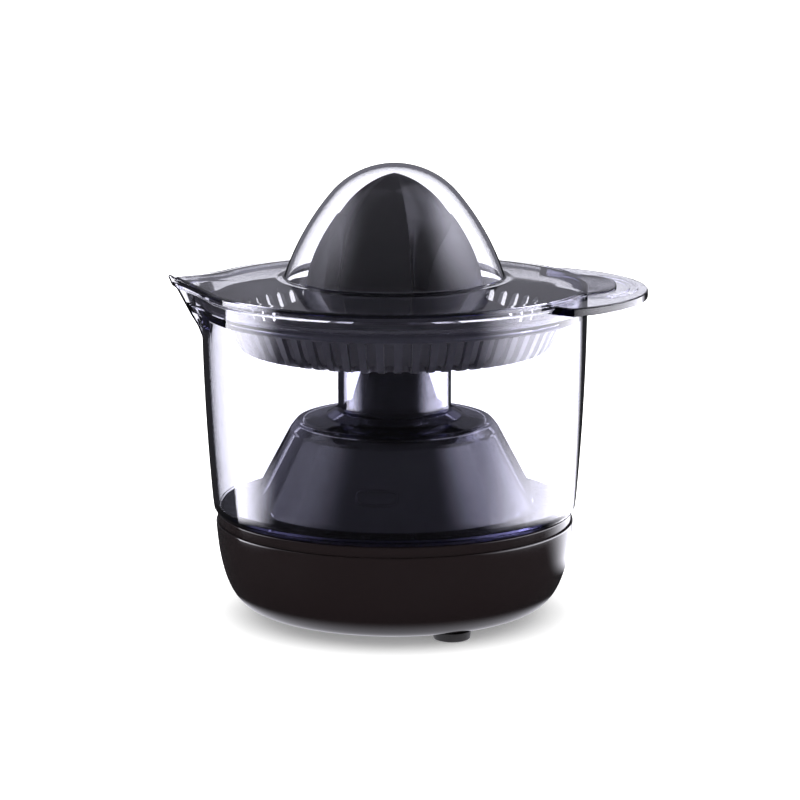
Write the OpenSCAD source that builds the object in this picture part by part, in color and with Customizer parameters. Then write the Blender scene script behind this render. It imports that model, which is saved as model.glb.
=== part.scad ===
// Citrus press juicer: a motor base, a clear jug that drops over its tower, a strainer,
// a ribbed reamer and a clear domed cover. Millimetres, +Z up.
// The origin is the machine's axis on the plane that its feet stand on.
// The jug's spout points along -X, its handle tab along +X, and the cord inlet along +Y.

/* [Base] */
// Outer radius of the base casing at its top edge
base_r = 70.4; // [64:0.1:86]
// Height of the base casing's top edge
base_h = 37.9; // [36:0.1:48]
// Wall of the moulded housings
shell_wall = 2.2; // [1.8:0.1:3]
// Height of the tower cover's rim band
band_h = 4.4; // [3.5:0.1:7]
// Radius of a rubber foot
foot_r = 7.5; // [5:0.1:9]
// Height of a rubber foot below the casing
foot_h = 3.5; // [2.5:0.1:5]
// Radius of the circle that the feet stand on
foot_ring_r = 48.5; // [44:0.1:52]
// Radius of the bore that the mains lead enters by
inlet_bore_r = 3.5; // [2.5:0.1:4.5]

/* [Tower] */
// Height of the tower's flat top above the deck
tower_h = 32.7; // [28:0.1:42]
// Radius of the tower's flat top, out to where its side begins
tower_top_r = 38; // [34:0.1:42]
// Radius of the neck that the drive shaft comes out of
neck_r = 13.3; // [12:0.1:16]
// Height of that neck
neck_h = 8; // [6:0.1:10]

/* [Jug] */
// Height of the jug from its seat to its rim
jug_h = 89.1; // [76:0.1:112]
// Wall of the jug
jug_wall = 2.2; // [1.8:0.1:3]
// How far the jug's side leans out between its foot and its rim
jug_flare = 4.1; // [2:0.1:8]
// Width of the juice channel at the jug's floor
channel_w = 12.7; // [9:0.1:18]
// Outer radius of the jug's inner chimney
chimney_r = 22.2; // [20.5:0.1:26]
// How far the spout's tip reaches past the jug's side
spout_reach = 13.2; // [8:0.1:20]
// Depth of the spout's keel below the rim
spout_drop = 20; // [14:0.1:26]
// How far the spout's tip rises above the rim
spout_rise = 3.1; // [1:0.1:6]
// How far the handle tab reaches past the rim
tab_reach = 22.3; // [16:0.1:34]
// Thickness of the handle tab
tab_t = 3.3; // [2.5:0.1:5]

/* [Strainer] */
// Number of slots
slot_count = 60; // [40:1:72]
// Width of a slot
slot_w = 3.8; // [2.5:0.1:4]
// Depth of the strainer's trough below its flange
filter_depth = 19; // [14:0.1:23]
// Wall of the strainer
filter_wall = 1.8; // [1.4:0.1:2.4]

/* [Reamer] */
// Radius of the reamer's foot
reamer_r = 34.2; // [31:0.1:38]
// Height of the reamer
reamer_h = 43.2; // [34:0.1:52]
// Number of long ribs, each with a short rib beside it
rib_count = 4; // [3:1:6]
// Width across the flats of the driver that turns the reamer
driver_af = 10; // [8:0.1:11]

/* [Cover] */
// Wall of the clear cover
lid_wall = 1.5; // [1.2:0.1:2]
// Radius of the dome's crown
crown_r = 32.5; // [28:0.1:38]
// Radius of the dome's flank
flank_r = 100; // [80:1:125]

/* [Drive] */
// Tooth module of all the gears
gear_m = 1; // [0.84:0.01:1.2]
// Face width of the gears
gear_face = 5; // [4:0.1:6]
// Radius of the drive shaft above the gear
shaft_r = 4; // [3.5:0.1:4.5]
// Width across the flats of the shaft where it slides in the gear
shaft_af = 8; // [7:0.1:8.5]
// Travel of the drive shaft when the reamer is pressed
press_travel = 1; // [0.6:0.1:1.2]
// Height of the motor's lamination stack
stack_h = 14; // [11:0.1:14.5]
// Radius of the motor's rotor
rotor_r = 12.7; // [10:0.1:13]

/* [Fits] */
// Radial clearance of a running or sliding fit
run_fit = 0.05; // [0.02:0.01:0.1]
// Radial clearance of a pressed or moulded-in fit
press_gap = 0.02; // [0.01:0.01:0.03]
// Gap between parts that only nest
nest_gap = 0.3; // [0.2:0.05:0.6]

/* [Hidden] */

black = [0.09, 0.09, 0.10];
rubber_black = [0.14, 0.14, 0.14];
clear = [0.80, 0.82, 0.93];
white_plastic = [0.92, 0.92, 0.90];
steel = [0.68, 0.69, 0.71];
zinc = [0.78, 0.79, 0.76];
bronze = [0.72, 0.55, 0.35];
copper = [0.72, 0.42, 0.25];
smooth = 96;
fine = 48;
eps = 0.01;

// ---- heights, from the floor up
floor_z = foot_h + shell_wall;
deck_z = base_h + band_h;
tower_z = deck_z + tower_h;
neck_z = tower_z + neck_h;
rim_z = deck_z + jug_h;
ledge_z = rim_z - 7.9;
flange_t = 1.5;
flange_z = ledge_z + flange_t;
trough_z = flange_z - filter_depth;
reamer_z = rim_z - 0.2;
collar_z = reamer_z - press_travel - 0.2;
tip_z = reamer_z + reamer_h;
brim_t = 1.5;
brim_z = rim_z - 0.2;
brim_rise = 2.9;
lid_top_z = tip_z + 2.4 + lid_wall;

// ---- jug
jug_foot_r = base_r + 0.8;
jug_top_r = jug_foot_r + jug_flare;
rim_r = jug_top_r + 1.2;
rim_h = 3;
floor_t = 2.5;
jug_floor_z = deck_z + floor_t;
channel_in_r = jug_foot_r - jug_wall - channel_w;
tower_gap = 1.2;
dry_gap = jug_wall + tower_gap;
cone_top_z = tower_z - 0.5;
shoulder_z = tower_z + dry_gap;
cone_top_r = tower_top_r + 3;
cone_lean = (channel_in_r - cone_top_r) / (cone_top_z - jug_floor_z);
side_k = sqrt(1 + cone_lean * cone_lean);
chimney_z = reamer_z - 13.2;
spout_tip_x = -(jug_top_r + spout_reach);
spout_half_w = 36;
tab_r = 58.5;
tab_tip_x = rim_r + tab_reach;
tab_top_z = rim_z - rim_h / 2 - 0.2;
tongue_half_w = 19;
tongue_tip_x = tab_tip_x - 12.4;
lid_r = jug_top_r - 0.6;
rebate_r = lid_r + nest_gap;

// ---- strainer
flange_r = jug_top_r - jug_wall - nest_gap;
filter_top_r = flange_r - 2.6;
filter_bend_r = filter_top_r - 8;
filter_low_r = filter_bend_r - 4;
collar_r = reamer_r + 1.3;
filter_rise_r = collar_r + 6.5;
filter_rise_z = flange_z - 3.5;
hub_r = driver_af / 2 + 3.3;
hub_z = reamer_z - 21.2;
sleeve_z = chimney_z + 1.2;

// ---- drive train
shaft_hex_r = shaft_af / 2 / cos(30);
driver_r = driver_af / 2 / cos(30);
pinion_teeth = 10;
wheel_teeth = 40;
output_teeth = 50;
pressure_angle = 25;
addendum = 0.8;
dedendum = 1;
thinning = 0.14;
stage_1 = (pinion_teeth + wheel_teeth) / 2 * gear_m;
stage_2 = (pinion_teeth + output_teeth) / 2 * gear_m;
rotor_at = [-12, -32];
rotor_d = norm(rotor_at);
along = (stage_2 * stage_2 - stage_1 * stage_1 + rotor_d * rotor_d) / (2 * rotor_d);
across = sqrt(stage_2 * stage_2 - along * along);
toward = rotor_at / rotor_d;
idler_at = along * toward + across * [toward[1], -toward[0]];
idler_angle = atan2(idler_at[1], idler_at[0]);
rotor_angle = atan2(rotor_at[1] - idler_at[1], rotor_at[0] - idler_at[0]);
stack_z = floor_z + 6.8;
plate_t = 2.4;
plate_z = stack_z + stack_h + 5.5;
plate_top = plate_z + plate_t;
plate_r = 50;
post_ring_r = 46;
post_angles = [15, 75, 152];
wheel_z = plate_top + 1.6;
output_z = wheel_z + gear_face + 2;
axle_r = 2;
axle_top = output_z + gear_face + 3.6;
journal_r = shaft_hex_r + 1.4;
gear_hub_r = shaft_hex_r + 2.2;
gear_hub_top = output_z + gear_face + 1;
journal_z = plate_z - 0.6;
bush_r = 6.5;
bush_z = tower_z - 7;
bush_top = neck_z - 2.8;
collar_t = 2;
shaft_collar_z = bush_z - collar_t;
shaft_low_z = plate_z - 3.5;
hex_low_z = reamer_z - 23;
hex_top_z = reamer_z - 5;

// ---- motor
motor_shaft_r = 2;
rotor_bore_r = rotor_r + 0.6;
leg_x = [30, 40];
window = [[18, 30], [-9, 9]];
pack = [[-20, 40], [-17, 17]];
coil_gap = 0.2;
coil_wall = 1;
coil_build = 3.6;
ring_t = 1.6;
stator_screw_at = [[-16, -13.6], [36, 13.2]];
stack_pillar_at = [[-16, -8], [-16, 8], [36, -12.8], [36, 12.8]];

// ---- switch
switch_x = [-4, 24];
switch_half_y = 5.15;
lever_t = 1.3;
lever_z = shaft_low_z - 0.2 - lever_t;
switch_top = lever_z - 2.6;
switch_z = switch_top - 16;
lever_pivot_x = 21;
plunger_x = 13;
switch_screw_at = [[-0.5, 4], [20.5, 10.5]];

// ---- terminal block
block_at = [23, 20, floor_z + 0.1];
block_size = [14, 10, 9];
block_holes = [4, 10];
block_rib_t = 1.8;

// ---- fasteners
casing_screw_r = 1.5;
casing_screw_ring = base_r - 14.4;
casing_screw_angles = [30, 150, 270];
tower_post_r = 3.6;
tower_post_z = floor_z + 6.5;
small_screw_r = 1.2;

// ---- cord inlet
inlet_z = 20;
inlet_len = 8;
inlet_y = base_r - 0.9;
inlet_neck_r = inlet_bore_r + 1.4;
inlet_flange_r = inlet_bore_r + 2.7;

// ---- helpers
function bez(p, t) =
    let (s = 1 - t)
    s * s * s * p[0] + 3 * s * s * t * p[1] + 3 * s * t * t * p[2] + t * t * t * p[3];
function curve(p, n) = [for (i = [0:n]) bez(p, i / n)];
function arc(c, r, a, b, n) =
    [for (i = [0:n]) let (u = a + (b - a) * i / n) [c[0] + r * cos(u), c[1] + r * sin(u)]];
function reversed(p) = [for (i = [len(p) - 1:-1:0]) p[i]];
function polar(r, a) = [r * cos(a), r * sin(a)];

// the jug's outer radius at a height: it leans out most near the foot
function jug_out(z) =
    let (t = (z - deck_z) / (rim_z - deck_z))
    jug_foot_r + jug_flare * (1 - (1 - t) * (1 - t));

module at(p, z = 0) {
    translate([p[0], p[1], z]) children();
}

module ring(r_out, r_in, h) {
    difference() {
        cylinder(r = r_out, h = h, $fn = smooth);
        translate([0, 0, -1]) cylinder(r = r_in, h = h + 2, $fn = smooth);
    }
}

module hexagon(af, h) {
    cylinder(r = af / 2 / cos(30), h = h, $fn = 6);
}

// a round bar swept along points, for a spring or a wire; no stretch of it runs straight up
function unit(v) = v / norm(v);
function ahead(p, i) = unit(p[min(i + 1, len(p) - 1)] - p[max(i - 1, 0)]);
module swept_bar(p, r, sides = 8) {
    n = len(p) - 1;
    rings = [for (i = [0:n])
        let (t = ahead(p, i), side = unit(cross(t, [0, 0, 1])), up = cross(side, t))
        for (j = [0:sides - 1])
            p[i] + r * (cos(360 * j / sides) * side + sin(360 * j / sides) * up)];
    function corner(i, j) = i * sides + j % sides;
    polyhedron(
        points = rings,
        faces = concat(
            [[for (j = [0:sides - 1]) corner(0, j)]],
            [[for (j = [sides - 1:-1:0]) corner(n, j)]],
            [for (i = [0:n - 1]) for (j = [0:sides - 1])
                [corner(i, j), corner(i + 1, j), corner(i + 1, j + 1)]],
            [for (i = [0:n - 1]) for (j = [0:sides - 1])
                [corner(i, j), corner(i + 1, j + 1), corner(i, j + 1)]]));
}

// a pan-head screw along +Z with its head's underside at z = 0
module pan_screw(r, length, head_h = 2) {
    translate([0, 0, -head_h]) cylinder(r = r * 1.85, h = head_h, $fn = 24);
    cylinder(r = r, h = length, $fn = 24);
}

// ---- involute spur gears
function involute_angle(base, r) =
    r <= base ? 0 : let (a = acos(base / r)) tan(a) * 180 / PI - a;
function half_tooth(m, z, r) =
    let (pitch = m * z / 2, base = pitch * cos(pressure_angle))
    90 / z * (1 - thinning) + involute_angle(base, pitch) - involute_angle(base, r);
function gear_points(m, z) =
    let (r0 = m * z / 2 - dedendum * m, r1 = m * z / 2 + addendum * m, steps = 4)
    [for (i = [0:z - 1])
        for (side = [-1, 1])
            for (k = [0:steps])
                let (r = side < 0 ? r0 + (r1 - r0) * k / steps : r1 - (r1 - r0) * k / steps)
                polar(r, 360 * i / z + side * half_tooth(m, z, r))];

module spur(z, face, turn) {
    rotate(turn)
        linear_extrude(face)
            polygon(gear_points(gear_m, z));
}

// ---- base
module casing_outer(z_top) {
    rotate_extrude($fn = smooth)
        polygon(concat(
            [[0, foot_h]],
            curve([[base_r - 18.4, foot_h], [base_r - 6.4, foot_h],
                   [base_r - 1.4, foot_h + 12.5], [base_r, base_h]], 12),
            [[0, z_top]]));
}

module base_casing() {
    color(black)
    difference() {
        union() {
            difference() {
                casing_outer(base_h);
                rotate_extrude($fn = smooth)
                    polygon(concat(
                        [[0, floor_z]],
                        curve([[base_r - 20.4, floor_z], [base_r - 8.4, floor_z],
                               [base_r - shell_wall - 1.6, floor_z + 11.3],
                               [base_r - shell_wall, base_h + eps]], 12),
                        [[0, base_h + eps]]));
            }
            // boss with a flat face for the cord's grommet
            translate([0, inlet_y - inlet_len, inlet_z])
                rotate([-90, 0, 0])
                    cylinder(r = inlet_flange_r + 1, h = inlet_len, $fn = fine);
            // bosses that the cover's screws come up through
            intersection() {
                casing_outer(base_h);
                for (a = casing_screw_angles)
                    at(polar(casing_screw_ring, a), foot_h + 1.4)
                        cylinder(r = 5, h = tower_post_z - foot_h - 1.4, $fn = fine);
            }
            // posts under the gear plate
            for (a = post_angles)
                at(polar(post_ring_r, a), floor_z - 1)
                    cylinder(r = 4, h = plate_z - floor_z + 1, $fn = fine);
            // pillars under the corners of the motor's stack
            for (p = stack_pillar_at)
                at(rotor_at + p, floor_z - 1)
                    cylinder(r = 3, h = stack_z - floor_z + 1, $fn = fine);
            // socket for the rotor's lower bush
            at(rotor_at, floor_z - 1) cylinder(r = 6.5, h = 4.6, $fn = fine);
            // upright that the switch is screwed to
            translate([switch_x[0], switch_half_y + 0.1, floor_z - 1])
                cube([switch_x[1] - switch_x[0], 3.5, switch_z + 13 - floor_z]);
            // ribs that hold the terminal block
            for (x = [block_at[0] - block_rib_t - 0.2, block_at[0] + block_size[0] + 0.2])
                translate([x, block_at[1], floor_z - 1]) cube([block_rib_t, block_size[1], 6]);
        }
        for (a = casing_screw_angles)
            at(polar(casing_screw_ring, a)) {
                cylinder(r = casing_screw_r + 0.3, h = tower_post_z + 1, $fn = fine);
                cylinder(r = casing_screw_r * 1.85 + 0.4, h = floor_z + 1.8, $fn = fine);
            }
        for (a = post_angles)
            at(polar(post_ring_r, a), plate_z - 9)
                cylinder(r = small_screw_r + press_gap, h = 10, $fn = fine);
        for (p = stator_screw_at)
            at(rotor_at + p, floor_z + 1)
                cylinder(r = small_screw_r * 1.85 + 0.3, h = 40, $fn = fine);
        at(rotor_at, floor_z) cylinder(r = 4 + press_gap, h = 10, $fn = fine);
        for (p = switch_screw_at)
            translate([p[0], 0, switch_z + p[1]])
                rotate([-90, 0, 0])
                    cylinder(r = small_screw_r + press_gap, h = 20, $fn = fine);
        for (i = [0:2])
            at(polar(foot_ring_r, 120 * i - 63), foot_h - 1)
                cylinder(r = 3 + press_gap, h = 5, $fn = fine);
        translate([0, inlet_y - inlet_len - 1, inlet_z])
            rotate([-90, 0, 0])
                cylinder(r = inlet_neck_r + press_gap, h = 20, $fn = fine);
    }
}

module foot(i) {
    color(rubber_black)
    at(polar(foot_ring_r, 120 * i - 63)) {
        cylinder(r = foot_r, h = foot_h, $fn = fine);
        cylinder(r = 3, h = floor_z + 0.8, $fn = fine);
    }
}

module casing_screws() {
    color(steel)
    for (a = casing_screw_angles)
        at(polar(casing_screw_ring, a), floor_z + 1.8)
            pan_screw(casing_screw_r, 14);
}

// a grommet with a lip on each side of the casing's wall
module cord_inlet() {
    lip = 1.4;
    color(rubber_black)
    translate([0, inlet_y - inlet_len - lip, inlet_z])
        rotate([-90, 0, 0])
            difference() {
                union() {
                    cylinder(r = inlet_neck_r, h = inlet_len + 2 * lip, $fn = fine);
                    cylinder(r = inlet_neck_r + 0.8, h = lip, $fn = fine);
                    translate([0, 0, inlet_len + lip])
                        cylinder(r = inlet_flange_r, h = lip, $fn = fine);
                }
                translate([0, 0, -1])
                    cylinder(r = inlet_bore_r, h = inlet_len + 9, $fn = fine);
            }
}

// ---- tower cover: rim band, deck, cone, flat top and neck in one moulding
function tower_side_r(z) =
    channel_in_r - cone_lean * (z - jug_floor_z) - dry_gap * side_k;

module tower_cover() {
    wall_in = shell_wall * side_k;
    under = tower_z - shell_wall;
    shoulder_r = tower_side_r(tower_z - 2.6);
    color(black)
    difference() {
        union() {
            rotate_extrude($fn = smooth)
                polygon([
                    [base_r - 0.4, base_h], [base_r - 0.4, deck_z - 0.5],
                    [base_r - 0.9, deck_z], [tower_side_r(deck_z), deck_z],
                    [shoulder_r, tower_z - 2.6], [shoulder_r - 0.8, tower_z - 0.9],
                    [shoulder_r - 2.6, tower_z],
                    [neck_r + 0.8, tower_z], [neck_r, tower_z + 0.8],
                    [neck_r, neck_z - 0.6], [neck_r - 0.6, neck_z],
                    [bush_r + press_gap, neck_z], [bush_r + press_gap, bush_z],
                    [bush_r + 3, bush_z], [bush_r + 3, under],
                    [shoulder_r - 2.6 - wall_in, under],
                    [tower_side_r(under - 2.5) - wall_in, under - 2.5],
                    [tower_side_r(deck_z - shell_wall) - wall_in, deck_z - shell_wall],
                    [base_r - 4.8, deck_z - shell_wall], [base_r - 4.8, base_h - 3.4],
                    [base_r - shell_wall - 0.4, base_h - 3.4],
                    [base_r - shell_wall - 0.2, base_h]]);
            for (a = casing_screw_angles)
                at(polar(casing_screw_ring, a), tower_post_z)
                    cylinder(r = tower_post_r, h = deck_z - tower_post_z - 1, $fn = fine);
        }
        for (a = casing_screw_angles)
            at(polar(casing_screw_ring, a), tower_post_z - 1)
                cylinder(r = casing_screw_r + press_gap, h = 18, $fn = fine);
    }
}

// ---- motor
module pack_outline() {
    translate([pack[0][0], pack[1][0]])
        square([pack[0][1] - pack[0][0], pack[1][1] - pack[1][0]]);
}

module stator_core() {
    color(steel)
    at(rotor_at, stack_z)
        difference() {
            linear_extrude(stack_h) pack_outline();
            translate([0, 0, -1]) cylinder(r = rotor_bore_r, h = stack_h + 2, $fn = smooth);
            translate([window[0][0], window[1][0], -1])
                cube([window[0][1] - window[0][0], window[1][1] - window[1][0], stack_h + 2]);
            for (p = stator_screw_at)
                at(p, -1) cylinder(r = small_screw_r + 0.2, h = stack_h + 2, $fn = fine);
            // holes for the shading rings beside the bore
            translate([-13.2, 11.5, -1]) cube([ring_t + 0.2, ring_t + 0.2, stack_h + 2]);
            for (x = [11.4, 16.4])
                translate([x, -13.3, -1]) cube([ring_t + 0.2, ring_t + 0.2, stack_h + 2]);
        }
}

module shading_ring(x0, x1, y) {
    translate([x0, y, stack_z - ring_t - 0.1])
        difference() {
            cube([x1 - x0, ring_t, stack_h + 2 * ring_t + 0.2]);
            translate([ring_t, -1, ring_t])
                cube([x1 - x0 - 2 * ring_t, ring_t + 2, stack_h + 0.2]);
        }
}

module shading_rings() {
    color(copper)
    at(rotor_at) {
        shading_ring(-20.1 - ring_t, -11.5, 11.6);
        shading_ring(11.5, 18.1, -13.2);
    }
}

module coil_block(grow, y0, y1) {
    translate([leg_x[0] - grow, y0, stack_z - grow])
        cube([leg_x[1] - leg_x[0] + 2 * grow, y1 - y0, stack_h + 2 * grow]);
}

module coil_bobbin() {
    inner = coil_gap;
    tube = coil_gap + coil_wall;
    outer = tube + coil_build;
    low = window[1][0] + 0.2;
    high = window[1][1] - 0.2;
    color(white_plastic)
    at(rotor_at)
        difference() {
            union() {
                coil_block(tube, low, high);
                coil_block(outer, low, low + coil_wall);
                coil_block(outer, high - coil_wall, high);
            }
            coil_block(inner, low - 1, high + 1);
        }
}

module coil_winding() {
    tube = coil_gap + coil_wall;
    low = window[1][0] + 0.2 + coil_wall;
    high = window[1][1] - 0.2 - coil_wall;
    color(copper)
    at(rotor_at)
        difference() {
            coil_block(tube + coil_build - 0.6, low, high);
            coil_block(tube, low - 1, high + 1);
        }
}

module stator_screws() {
    color(steel)
    for (p = stator_screw_at)
        at(rotor_at + p, stack_z) pan_screw(small_screw_r, stack_h + 5.5 + plate_t);
}

module motor_bushes() {
    color(bronze)
    for (z = [floor_z, plate_z])
        at(rotor_at, z) ring(4, motor_shaft_r + run_fit, z == floor_z ? 3.6 : plate_t);
}

module motor_rotor() {
    color(steel)
    at(rotor_at, stack_z - 1)
        difference() {
            union() {
                cylinder(r = rotor_r, h = stack_h + 2, $fn = smooth);
                cylinder(r = rotor_r - 2.5, h = stack_h + 3, $fn = smooth);
            }
            translate([0, 0, -1])
                cylinder(r = motor_shaft_r + press_gap, h = stack_h + 6, $fn = fine);
        }
}

module motor_shaft() {
    color(steel)
    at(rotor_at, floor_z + 0.2)
        cylinder(r = motor_shaft_r, h = wheel_z + gear_face - floor_z - 0.2, $fn = fine);
}

module rotor_pinion() {
    color(bronze)
    at(rotor_at, wheel_z)
        difference() {
            spur(pinion_teeth, gear_face, rotor_angle + 180);
            translate([0, 0, -1])
                cylinder(r = motor_shaft_r + press_gap, h = gear_face + 2, $fn = fine);
        }
}

// ---- gear train
module gear_plate() {
    color(zinc)
    translate([0, 0, plate_z])
        difference() {
            cylinder(r = plate_r, h = plate_t, $fn = smooth);
            translate([0, 0, -1]) {
                cylinder(r = journal_r + run_fit + 2 + press_gap, h = 9, $fn = fine);
                at(rotor_at) cylinder(r = 4 + press_gap, h = 9, $fn = fine);
                at(idler_at) cylinder(r = axle_r + press_gap, h = 9, $fn = fine);
                for (a = post_angles)
                    at(polar(post_ring_r, a))
                        cylinder(r = small_screw_r + 0.2, h = 9, $fn = fine);
                for (p = stator_screw_at)
                    at(rotor_at + p)
                        cylinder(r = small_screw_r + press_gap, h = 9, $fn = fine);
            }
        }
}

module gear_plate_screws() {
    color(steel)
    for (a = post_angles)
        at(polar(post_ring_r, a), plate_top)
            rotate([180, 0, 0]) pan_screw(small_screw_r, 8);
}

module idler_axle() {
    color(steel)
    at(idler_at, plate_z)
        difference() {
            cylinder(r = axle_r, h = axle_top - plate_z, $fn = fine);
            translate([0, 0, axle_top - plate_z - 2])
                ring(axle_r + 1, axle_r - 0.6, 0.8);
        }
}

module axle_clip() {
    color(steel)
    at(idler_at, axle_top - 1.95)
        difference() {
            ring(axle_r + 1.6, axle_r - 0.55, 0.7);
            translate([0, -1.1, -1]) cube([9, 2.2, 3]);
        }
}

module idler_gear() {
    color(white_plastic)
    at(idler_at)
        difference() {
            union() {
                translate([0, 0, wheel_z])
                    spur(wheel_teeth, gear_face, rotor_angle + 180 / wheel_teeth);
                translate([0, 0, wheel_z + gear_face])
                    spur(pinion_teeth, output_z + gear_face + 1 - wheel_z - gear_face,
                         idler_angle + 180);
                translate([0, 0, plate_top + 0.4])
                    cylinder(r = 4, h = wheel_z - plate_top, $fn = fine);
            }
            translate([0, 0, plate_top - 1])
                cylinder(r = axle_r + run_fit, h = 40, $fn = fine);
        }
}

module lower_bush() {
    color(bronze)
    translate([0, 0, plate_z])
        ring(journal_r + run_fit + 2, journal_r + run_fit, plate_t + 0.8);
}

module output_gear() {
    color(white_plastic)
    difference() {
        union() {
            translate([0, 0, output_z])
                spur(output_teeth, gear_face, idler_angle + 180 / output_teeth);
            translate([0, 0, journal_z])
                cylinder(r = journal_r, h = output_z - journal_z + 1, $fn = fine);
            translate([0, 0, plate_top + 0.9])
                cylinder(r = gear_hub_r, h = gear_hub_top - plate_top - 0.9, $fn = fine);
        }
        translate([0, 0, journal_z - 1])
            hexagon(shaft_af + 2 * run_fit, gear_hub_top - journal_z + 2);
    }
}

module drive_shaft() {
    color(steel)
    union() {
        translate([0, 0, shaft_low_z])
            hexagon(shaft_af, shaft_collar_z - shaft_low_z + eps);
        translate([0, 0, shaft_collar_z])
            cylinder(r = bush_r + 0.4, h = collar_t - 0.05, $fn = fine);
        translate([0, 0, shaft_collar_z])
            cylinder(r = shaft_r, h = hex_low_z - 6 - shaft_collar_z, $fn = fine);
    }
}

// a coil spring between the gear's hub and the shaft's collar
module return_spring() {
    wire_r = 0.55;
    turns = 5;
    steps = 20;
    low = gear_hub_top + wire_r + 0.1;
    high = shaft_collar_z - wire_r - 0.1;
    color(steel)
        swept_bar([for (i = [0:turns * steps])
            let (a = 360 * i / steps)
            [(gear_hub_r - 0.7) * cos(a), (gear_hub_r - 0.7) * sin(a),
             low + (high - low) * i / (turns * steps)]], wire_r);
}

module upper_bush() {
    color(bronze)
    translate([0, 0, bush_z]) ring(bush_r, shaft_r + run_fit, bush_top - bush_z);
}

module shaft_seal() {
    color(rubber_black)
    translate([0, 0, bush_top])
        difference() {
            cylinder(r = bush_r, h = neck_z - bush_top - 0.4, $fn = fine);
            translate([0, 0, -1]) cylinder(r = shaft_r + 0.1, h = 9, $fn = fine);
            translate([0, 0, 1]) ring(bush_r - 1, shaft_r + 0.9, 9);
        }
}

module drive_cone() {
    skirt_z = neck_z - 0.7;
    cone_z = hex_low_z;
    color(black)
    difference() {
        union() {
            rotate_extrude($fn = smooth)
                polygon([
                    [0, skirt_z + 6], [neck_r + 1.4, skirt_z + 6], [neck_r + 1.4, skirt_z],
                    [neck_r + 4.6, skirt_z], [neck_r + 4.6, skirt_z + 0.8],
                    [neck_r + 3.8, skirt_z + 2.4], [neck_r + 1.3, skirt_z + 10.4],
                    [driver_r + 3.7, cone_z], [driver_r + 2.9, cone_z + 0.8],
                    [0, cone_z + 0.8]]);
            translate([0, 0, cone_z]) hexagon(driver_af, hex_top_z - cone_z);
        }
        // hollow over the neck, then the bore that takes the shaft
        translate([0, 0, skirt_z - 1])
            cylinder(r = neck_r + 1.4, h = 3.4, $fn = smooth);
        rotate_extrude($fn = smooth)
            polygon([[0, skirt_z + 2.3], [neck_r + 1.4, skirt_z + 2.3],
                     [shaft_r + 3, skirt_z + 9], [0, skirt_z + 9]]);
        cylinder(r = shaft_r + press_gap, h = hex_low_z - 6, $fn = fine);
    }
}

// ---- switch and wiring
module switch_body() {
    color(black)
    difference() {
        union() {
            translate([switch_x[0], -switch_half_y, switch_z])
                cube([switch_x[1] - switch_x[0], 2 * switch_half_y, 16]);
            for (y = [-switch_half_y, switch_half_y - 1.5])
                translate([lever_pivot_x - 2, y, switch_top - 1]) cube([4, 1.5, 5.5]);
        }
        for (p = switch_screw_at)
            translate([p[0], -20, switch_z + p[1]])
                rotate([-90, 0, 0]) cylinder(r = small_screw_r + 0.2, h = 40, $fn = fine);
        translate([plunger_x, 0, switch_top - 4])
            cylinder(r = 1.5 + run_fit, h = 9, $fn = fine);
        translate([lever_pivot_x, -20, lever_z + lever_t / 2])
            rotate([-90, 0, 0]) cylinder(r = 1 + press_gap, h = 40, $fn = fine);
    }
}

module switch_plunger() {
    color(white_plastic)
    translate([plunger_x, 0, switch_top - 3])
        cylinder(r = 1.5, h = lever_z - 0.2 - switch_top + 3, $fn = fine);
}

module switch_lever() {
    color(steel)
    difference() {
        union() {
            translate([-3, -3, lever_z]) cube([lever_pivot_x + 3, 6, lever_t]);
            translate([lever_pivot_x, -3, lever_z + lever_t / 2])
                rotate([-90, 0, 0]) cylinder(r = 1.8, h = 6, $fn = fine);
        }
        translate([lever_pivot_x, -9, lever_z + lever_t / 2])
            rotate([-90, 0, 0]) cylinder(r = 1 + run_fit, h = 18, $fn = fine);
    }
}

module lever_pin() {
    color(steel)
    translate([lever_pivot_x, -switch_half_y, lever_z + lever_t / 2])
        rotate([-90, 0, 0]) cylinder(r = 1, h = 2 * switch_half_y, $fn = fine);
}

module switch_screws() {
    color(steel)
    for (p = switch_screw_at)
        translate([p[0], -switch_half_y, switch_z + p[1]])
            rotate([-90, 0, 0]) pan_screw(small_screw_r, 13);
}

module terminal_block() {
    color(white_plastic)
    translate(block_at)
        difference() {
            cube(block_size);
            for (x = block_holes) {
                translate([x, -1, 4.5])
                    rotate([-90, 0, 0]) cylinder(r = 1.1, h = 20, $fn = fine);
                translate([x, 5, 4.5]) cylinder(r = 1.5 + press_gap, h = 9, $fn = fine);
            }
        }
}

module terminal_screws() {
    color(zinc)
    for (x = block_holes)
        translate(block_at + [x, 5, 6])
            difference() {
                cylinder(r = 1.5, h = 2.6, $fn = fine);
                translate([-2, -0.3, 1.8]) cube([4, 0.6, 2]);
            }
}

// a wire's route through four corners, rounded into one curve
module wire(points) {
    swept_bar(curve(points, 14), 0.9);
}

module lead_wires() {
    low = block_at + [0, 0, 4.5];
    coil_x = rotor_at[0] + leg_x[1] + 3;
    coil_y = rotor_at[1] + window[1][1] + 1;
    switch_end = switch_x[1] + 1;
    left = block_holes[0];
    right = block_holes[1];
    color([0.75, 0.2, 0.15])
    union() {
        wire([low + [left, 1.5, 0], low + [left, -10, 0], [31, 0, low[2] + 1],
              [switch_end, 0, low[2] + 1]]);
        wire([low + [right, 1.5, 0], low + [right, -12, 0], [coil_x + 5, 0, 12],
              [coil_x, coil_y, 12]]);
        wire([[switch_end, -3, switch_z + 12], [coil_x, -4, switch_z + 12],
              [coil_x, -12, 19], [coil_x, coil_y, 19]]);
    }
}

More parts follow.
